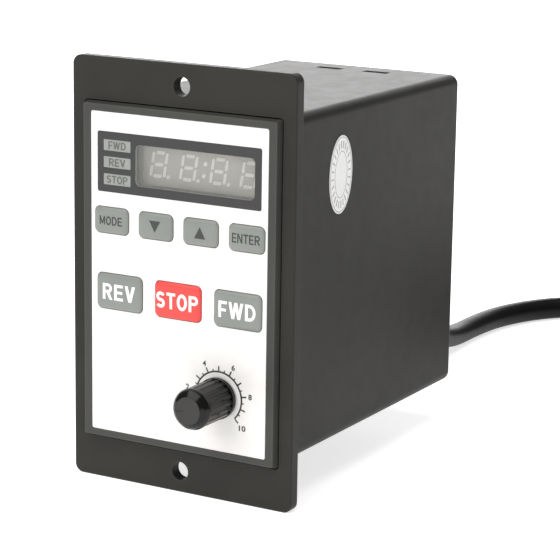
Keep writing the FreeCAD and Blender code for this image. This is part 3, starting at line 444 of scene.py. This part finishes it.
def letter(name, t):
    """The strokes of a letter and its width, for a stroke t wide."""
    if name == "E":
        w = 0.66
        arms = [bar(t, w, 0, t * 0.9), bar(t, w * 0.93, 0.5 - t * 0.4, t * 0.85)]
        return w, [stem(0, t)] + arms + [bar(t, w * 0.97, 1 - t * 0.9, t * 0.9)]
    if name == "F":
        w = 0.61
        return w, [stem(0, t), bar(t, w * 0.9, 0.46 - t * 0.4, t * 0.85), bar(t, w, 1 - t * 0.9, t * 0.9)]
    if name == "T":
        w = 0.68
        return w, [stem(w / 2 - t / 2, t, 0, 1 - t * 0.9), bar(0, w, 1 - t * 0.9, t * 0.9)]
    if name == "V":
        w = 0.76
        foot = w / 2 - t * 0.55
        return w, [slant(0, 1, foot, 0, t * 1.1), slant(w - t * 1.1, 1, foot, 0, t * 1.1)]
    if name == "W":
        w = 1.06
        q = (w - t) / 4
        return w, [slant(top * q, 1, foot * q, 0, t) for top, foot in ((0, 1), (2, 1), (2, 3), (4, 3))]
    if name == "M":
        w = 0.86
        m = w / 2 - t / 2
        middle = [slant(x, 1, m, 0.12, t * 0.95) for x in (t * 0.1, w - t * 1.05)]
        return w, [stem(0, t), stem(w - t, t)] + middle
    if name == "N":
        w = 0.74
        return w, [stem(0, t), stem(w - t, t), slant(t * 0.1, 1, w - t * 1.1, 0, t)]
    if name == "O":
        w = 0.78
        return w, [bend(w / 2, 0.5, w / 2, 0.515, t * 1.02, 0, 360)]
    if name == "S":
        w = 0.68
        r = 0.25 + t / 4
        return w, [bend(w / 2, 1 - r, w / 2, r, t, 25, 270), bend(w / 2, r, w / 2, r, t, 90, -155)]
    if name == "D":
        w = 0.74
        r = 0.42
        level = [bar(t, w - r, y, t * 0.92) for y in (0, 1 - t * 0.92)]
        return w, [stem(0, t)] + level + [bend(w - r, 0.5, r, 0.5, t * 0.96, -90, 90)]
    w = 0.70
    r = 0.29
    low = 1 - 2 * r
    bowl = [stem(0, t), bar(t, w - r, low, t * 0.85), bar(t, w - r, 1 - t * 0.9, t * 0.9)]
    bowl.append(bend(w - r, 1 - r, r, r, t * 0.9, -90, 90))
    if name == "P":
        return w, bowl
    return w + 0.04, bowl + [slant(w * 0.42, low, w + 0.04 - t * 1.1, 0, t * 1.1)]


def lettering(name, words, x, z, width, height, weight, y, material, body, lift=None):
    """Printed words centred at x and z, fitted to a width and a height."""
    strokes = []
    pen = 0.0
    for character in words:
        w, parts = letter(character, weight)
        for part in parts:
            strokes.append([[(pen + px, py) for px, py in pair] for pair in part])
        pen += w + 0.13
    span = pen - 0.13
    points = []
    faces = []
    for k, part in enumerate(strokes):
        first = len(points)
        for pair in part:
            for px, py in pair:
                wx = x + (px / span - 0.5) * width
                wz = z + (py - 0.5) * height
                out = (lift(wx, wz) if lift else 0.0) + 0.0006 * (k % 12)
                points.append((wx, y - out, wz))
                points.append((wx, y - out - PRINT_T, wz))
        n = len(part)
        for i in range(n - 1):
            a = first + 4 * i
            b = a + 4
            faces += [(a, a + 2, b + 2, b), (a + 1, b + 1, b + 3, a + 3)]
            faces += [(a, b, b + 1, a + 1), (a + 2, a + 3, b + 3, b + 2)]
        end = first + 4 * (n - 1)
        faces += [(first, first + 1, first + 3, first + 2), (end, end + 2, end + 3, end + 1)]
    return add_mesh(name, points, faces, material, body)


# Front print

BEZEL = (0.05, 26.75, 44.5, 14.3, 0.5)
WINDOW = (4.45, 26.65, 32.1, 9.7, 1.2)
LAMP_X = -16.75
LAMP_Z = (30.7, 26.7, 22.65)
LAMP_SIZE = (7.5, 2.6)


def front_print():
    y = OVERLAY_Y - 0.005
    x, z, w, h, r = BEZEL
    wx, wz, ww, wh, wr = WINDOW
    outlines = [rounded_loop(w, h, r, x, z), rounded_loop(ww, wh, wr, wx, wz)]
    outlines += [rounded_loop(*LAMP_SIZE, 0.2, LAMP_X, lz) for lz in LAMP_Z]
    flat_print("bezel_print", outlines, y, INK_BEZEL)
    for words, lz, width in zip(("FWD", "REV", "STOP"), LAMP_Z, (4.8, 4.5, 5.8)):
        name = "lamp_legend_" + words.lower()
        lettering(name, words, LAMP_X, lz, width, 1.75, 0.16, y, INK_DARK, CASING)


# Display

DIGIT_W = 4.5
DIGIT_H = 6.35
DIGIT_PITCH = 8.15
DIGIT_SLANT = math.tan(math.radians(9.5))
BAR_T = 0.8


def segment_bars():
    """The seven bars of one digit, as (centre x, centre z, width, height)."""
    side = DIGIT_W / 2 - BAR_T / 2
    flat = 2.25
    tall = 2.55
    level = DIGIT_H / 2 - BAR_T / 2
    bars = [(0, z, flat, BAR_T) for z in (-level, 0, level)]
    bars += [(sx * side, sz * (DIGIT_H / 4 - 0.02), BAR_T * 0.92, tall) for sx in (-1, 1) for sz in (-1, 1)]
    return bars


def display_digits():
    """Four unlit digits with their points and a colon, on the film over the display block's face."""
    wx, wz = WINDOW[:2]
    face_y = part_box("display_module")[0][1] / MM
    film_t = 0.1
    film = rounded_loop(34.4, 11.4, 0.4, wx - 1.9, wz - 0.2)
    flat_print("display_film", [film], face_y, MATERIALS["display"], CASING, film_t)
    y = face_y - film_t - 0.01
    outlines = []

    def slanted(loop, z0):
        return [(x + (z - z0) * DIGIT_SLANT, z) for x, z in loop]

    first = wx - 1.5 * DIGIT_PITCH
    for i in range(4):
        cx = first + i * DIGIT_PITCH
        for bx, bz, w, h in segment_bars():
            outlines.append(slanted(rounded_loop(w, h, 0.22, cx + bx, wz + bz, 3), wz))
        point_x = cx + DIGIT_W / 2 + 0.75
        outlines.append(slanted(rounded_loop(0.9, 0.9, 0.42, point_x, wz - DIGIT_H / 2 + 0.4, 4), wz))
    colon_x = wx + 0.25
    for dz in (-1.45, 1.35):
        outlines.append(slanted(rounded_loop(1.0, 1.0, 0.35, colon_x, wz + dz, 4), wz))
    flat_print("display_digits", outlines, y, SEGMENT, CASING, 0.05)


# Keys

SMALL = (9.35, 6.2)
LARGE = (12.6, 8.55)
KEY_TOP = 0.55
KEY_DOME = 0.12
KEY_ROLL = 1.15
KEY_CORNER = 1.3
KEYS = {
    "mode": ("MODE", 6.3, 2.05, SMALL, INK_KEY),
    "down": (None, 3.0, 2.7, SMALL, INK_KEY),
    "up": (None, 3.0, 2.7, SMALL, INK_KEY),
    "enter": ("ENTER", 7.4, 2.2, SMALL, INK_KEY),
    "reverse": ("REV", 9.1, 3.85, LARGE, INK_WHITE),
    "stop": ("STOP", 11.4, 3.85, LARGE, INK_WHITE),
    "forward": ("FWD", 9.9, 3.9, LARGE, INK_WHITE),
}


def make_key(name):
    """A pillowed key with its neck, retaining lip and stem, and the legend on its face."""
    words, width, height, size, ink = KEYS[name]
    low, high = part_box(name + "_key")
    x = (low[0] + high[0]) / 2 / MM
    z = (low[2] + high[2]) / 2 / MM
    back = high[1] / MM
    w, h = size
    slot = "key_red" if name == "stop" else "key_grey"
    body = name + "_button"
    rim_y = OVERLAY_Y + 0.02
    steps = 8

    def loop(lw, lh, r, y):
        return [(px, y, pz) for px, pz in rounded_loop(lw, lh, r, x, z, steps)]

    loops = [loop(3.0, 3.0, 1.49, back), loop(3.0, 3.0, 1.49, -0.3)]
    loops += [loop(w - 1, h + 2, 0.6, -0.3), loop(w - 1, h + 2, 0.6, -1.1)]
    loops += [loop(w - 1, h - 0.6, 0.6, -1.1), loop(w - 1, h - 0.6, 0.6, -1.75)]
    loops += [loop(w, h, KEY_CORNER, -1.75), loop(w, h, KEY_CORNER, rim_y)]
    rings = 9
    for i in range(1, rings + 1):
        inset = KEY_ROLL * (1 - math.cos(math.pi / 2 * i / rings))
        ring = rounded_loop(w - 2 * inset, h - 2 * inset, max(0.15, KEY_CORNER - inset), x, z, steps)
        level = KEY_TOP * math.sin(math.pi / 2 * i / rings)
        loops.append([(px, rim_y - level, pz) for px, pz in ring])
    inner_w = w - 2 * KEY_ROLL
    inner_h = h - 2 * KEY_ROLL
    for i in range(1, 8):
        k = 1 - i / 8
        ring = rounded_loop(inner_w * k, inner_h * k, 0.15 * k, x, z, steps)
        level = KEY_TOP + KEY_DOME * (1 - k * k)
        loops.append([(px, rim_y - level, pz) for px, pz in ring])
    key = loft(name + "_key_cap", loops, MATERIALS[slot], body, 40)
    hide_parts(name + "_key")
    face_y = rim_y - KEY_TOP

    def lift(px, pz):
        u = max(abs(px - x) / (inner_w / 2), abs(pz - z) / (inner_h / 2))
        return KEY_DOME * (1 - min(1.0, u) ** 2) + 0.004

    if words:
        weight = 0.2 if size == LARGE else 0.17
        lettering(name + "_legend", words, x, z, width, height, weight, face_y, ink, body, lift)
    else:
        up = 1 if name == "up" else -1
        tip = (x, z + up * height / 2)
        foot = [(x - width / 2, z - up * height / 2), (x + width / 2, z - up * height / 2)]
        flat_print(name + "_legend", [[tip] + foot], face_y - KEY_DOME - 0.004, ink, body)


# Dial

DIAL_X = 11.42
DIAL_Z = -25.52
DIAL_R = 6.2


def dial_angle(value):
    return math.radians(90 - 27 * (value - 5))


def dial_point(r, a):
    return (DIAL_X + r * math.cos(a), DIAL_Z + r * math.sin(a))


def dial_print():
    y = OVERLAY_Y - 0.005
    half = 0.2
    steps = 72
    angles = [dial_angle(10 * i / steps) for i in range(steps + 1)]
    arc = [dial_point(DIAL_R + half, a) for a in angles]
    arc += [dial_point(DIAL_R - half, a) for a in reversed(angles)]
    outlines = [arc]
    for i in range(21):
        a = dial_angle(i / 2)
        long = i % 2 == 0
        tip = DIAL_R + (1.35 if long else 0.62)
        across = 0.17 if long else 0.14
        dx = -across * math.sin(a)
        dz = across * math.cos(a)
        bx, bz = dial_point(DIAL_R + half * 0.8, a)
        tx, tz = dial_point(tip, a)
        outlines.append([(bx - dx, bz - dz), (tx - dx, tz - dz), (tx + dx, tz + dz), (bx + dx, bz + dz)])
    for i, outline in enumerate(outlines):
        flat_print("dial_mark_%02d" % i, [outline], y, INK_BLACK)
    for value in range(0, 11, 2):
        words = str(value)
        x, z = dial_point(9.15 if value == 10 else 8.6, dial_angle(value))
        width = 0.9 * len(words)
        legend("dial_number_" + words, words, x, z, width, 1.35, y, INK_BLACK, CASING, 0.025)


# Side sticker

def seal_print():
    """Generic rings and tick marks on the oval sticker."""
    low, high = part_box("side_seal")
    x = high[0] / MM
    y = (low[1] + high[1]) / 2 / MM
    z = (low[2] + high[2]) / 2 / MM
    lean = math.radians(3.0)

    def at(u, v):
        """A point u along the short axis and v along the long one."""
        return (x, y + u * math.cos(lean) + v * math.sin(lean), z + v * math.cos(lean) - u * math.sin(lean))

    def band(name, points, material):
        """A closed strip between pairs of points, just proud of the sticker."""
        flat = []
        for lift in (0.004, 0.02):
            flat += [(px + lift, py, pz) for px, py, pz in points]
        n = len(points)
        half = n // 2
        faces = []
        for i in range(half - 1):
            a, b = i, i + 1
            c, d = n - 1 - i, n - 2 - i
            faces += [(a, b, d, c), (a + n, c + n, d + n, b + n)]
        for i in range(n):
            j = (i + 1) % n
            faces.append((i, i + n, j + n, j))
        add_mesh(name, flat, faces, material, CASING)

    def ring(name, a, b, width, material):
        steps = 64
        angles = [2 * math.pi * i / steps for i in range(steps + 1)]
        outer = [at(a * math.cos(t), b * math.sin(t)) for t in angles]
        inner = [at((a - width) * math.cos(t), (b - width) * math.sin(t)) for t in reversed(angles)]
        band(name, outer + inner, material)

    ring("seal_rim", 5.15, 8.95, 0.16, INK_GREY)
    ring("seal_ring", 3.0, 5.6, 0.14, INK_GREY)
    for i in range(24):
        t = 2 * math.pi * (i + 0.5) / 24
        c, s = math.cos(t), math.sin(t)
        half = 0.14
        tangent = (-s * half, c * half)
        quad = [(3.5 * c, 6.3 * s), (4.55 * c, 8.0 * s)]
        points = [at(u - tangent[0], v - tangent[1]) for u, v in quad]
        points += [at(u + tangent[0], v + tangent[1]) for u, v in reversed(quad)]
        band("seal_tick_%02d" % i, points, INK_GREY)


# Lead

LEAD_ROUTE = (
    (0.0, 106.0, -31.0),
    (-0.8, 123.0, -34.5),
    (-2.6, 139.0, -44.2),
    (-4.4, 155.0, CORD_Z),
    (-4.7, 171.0, CORD_Z),
    (-3.2, 186.0, CORD_Z),
    (3.5, 202.0, CORD_Z),
    (14.5, 212.5, CORD_Z),
    (27.5, 219.0, CORD_Z),
    (41.0, 222.5, CORD_Z),
)
COIL_X = 55.5
COIL_Y = 190.0
COIL_R = 32.25
COIL_TURNS = 2.25
POINTS_A_TURN = 24
PLUG_Z = FLOOR_Z + 5.0
TAIL_ROUTE = (
    (87.75, 174.5, CORD_Z + 2 * CORD_D),
    (85.5, 159.5, -40.5),
    (82.0, 144.5, PLUG_Z),
    (78.0, 129.5, PLUG_Z),
)


def ease(value, start, end):
    t = max(0.0, min(1.0, (value - start) / (end - start)))
    return t * t * (3 - 2 * t)


def coil_points():
    """Turns that lie on each other, each stepping up before it meets the one below."""
    points = []
    for i in range(round(COIL_TURNS * POINTS_A_TURN)):
        turn = i / POINTS_A_TURN
        a = math.radians(90) - 2 * math.pi * turn
        z = CORD_Z + CORD_D * (ease(turn, 0.72, 0.90) + ease(turn, 1.72, 1.90))
        points.append((COIL_X + COIL_R * math.cos(a), COIL_Y + COIL_R * math.sin(a), z))
    return points


def make_cord():
    route = list(LEAD_ROUTE) + coil_points() + list(TAIL_ROUTE)
    data = bpy.data.curves.new("cord", "CURVE")
    data.dimensions = "3D"
    data.bevel_depth = CORD_D / 2 * MM
    data.bevel_resolution = 6
    data.resolution_u = 8
    data.use_fill_caps = True
    spline = data.splines.new("NURBS")
    spline.points.add(len(route) - 1)
    for point, place in zip(spline.points, route):
        point.co = (*(Vector(place) * MM), 1)
    spline.order_u = 3
    spline.use_endpoint_u = True
    data.materials.append(MATERIALS["cord"])
    cord = bpy.data.objects.new("cord", data)
    bpy.context.scene.collection.objects.link(cord)
    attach(cord, CASING)
    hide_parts("cord_lead", "cord_coil", "cord_tail")


# Floor and lights

def make_stage():
    material, tree, shader = node_tree("floor_white")
    where = coordinates(tree)
    tree.links.new(ramp(tree, noise(tree, where, 3, 2.0), 0.80, 0.83), shader.inputs["Base Color"])
    shader.inputs["Roughness"].default_value = 0.8
    shader.inputs["Specular IOR Level"].default_value = 0.15
    shader.inputs["Emission Color"].default_value = (1, 1, 1, 1)
    shader.inputs["Emission Strength"].default_value = 0.7
    size = 12.0
    mesh = bpy.data.meshes.new("floor")
    z = FLOOR_Z * MM
    corners = [(-size, -size, z), (size, -size, z), (size, size, z), (-size, size, z)]
    mesh.from_pydata(corners, [], [(0, 1, 2, 3)])
    mesh.materials.append(material)
    floor = bpy.data.objects.new("floor", mesh)
    bpy.context.scene.collection.objects.link(floor)


def area_light(name, place, target, size, power):
    data = bpy.data.lights.new(name, "AREA")
    data.shape = "RECTANGLE"
    data.size = size[0]
    data.size_y = size[1]
    data.energy = power
    light = bpy.data.objects.new(name, data)
    light.location = place
    light.rotation_euler = (Vector(target) - Vector(place)).to_track_quat("-Z", "Y").to_euler()
    bpy.context.scene.collection.objects.link(light)


def sun_light(name, toward, angle, strength):
    data = bpy.data.lights.new(name, "SUN")
    data.angle = math.radians(angle)
    data.energy = strength
    light = bpy.data.objects.new(name, data)
    light.rotation_euler = Vector(toward).to_track_quat("-Z", "Y").to_euler()
    bpy.context.scene.collection.objects.link(light)


def make_lights():
    world = bpy.data.worlds.new("studio")
    world.use_nodes = True
    background = world.node_tree.nodes["Background"]
    background.inputs["Color"].default_value = (1, 1, 1, 1)
    background.inputs["Strength"].default_value = 0.22
    scene = bpy.context.scene
    scene.world = world
    scene.view_settings.view_transform = "Standard"
    sun_light("top_light", (0.12, 0.22, -1.0), 60, 2.1)
    area_light("key_light", (-0.35, -1.2, 0.75), (0, 0, 0), (1.1, 0.9), 9)
    area_light("back_light", (-0.95, 1.75, 0.5), (0, 0.05, 0.03), (2.0, 0.7), 22)


make_camera()
make_cord()
dress_cad()
front_print()
display_digits()
for key_name in KEYS:
    make_key(key_name)
dial_print()
seal_print()
make_stage()
make_lights()
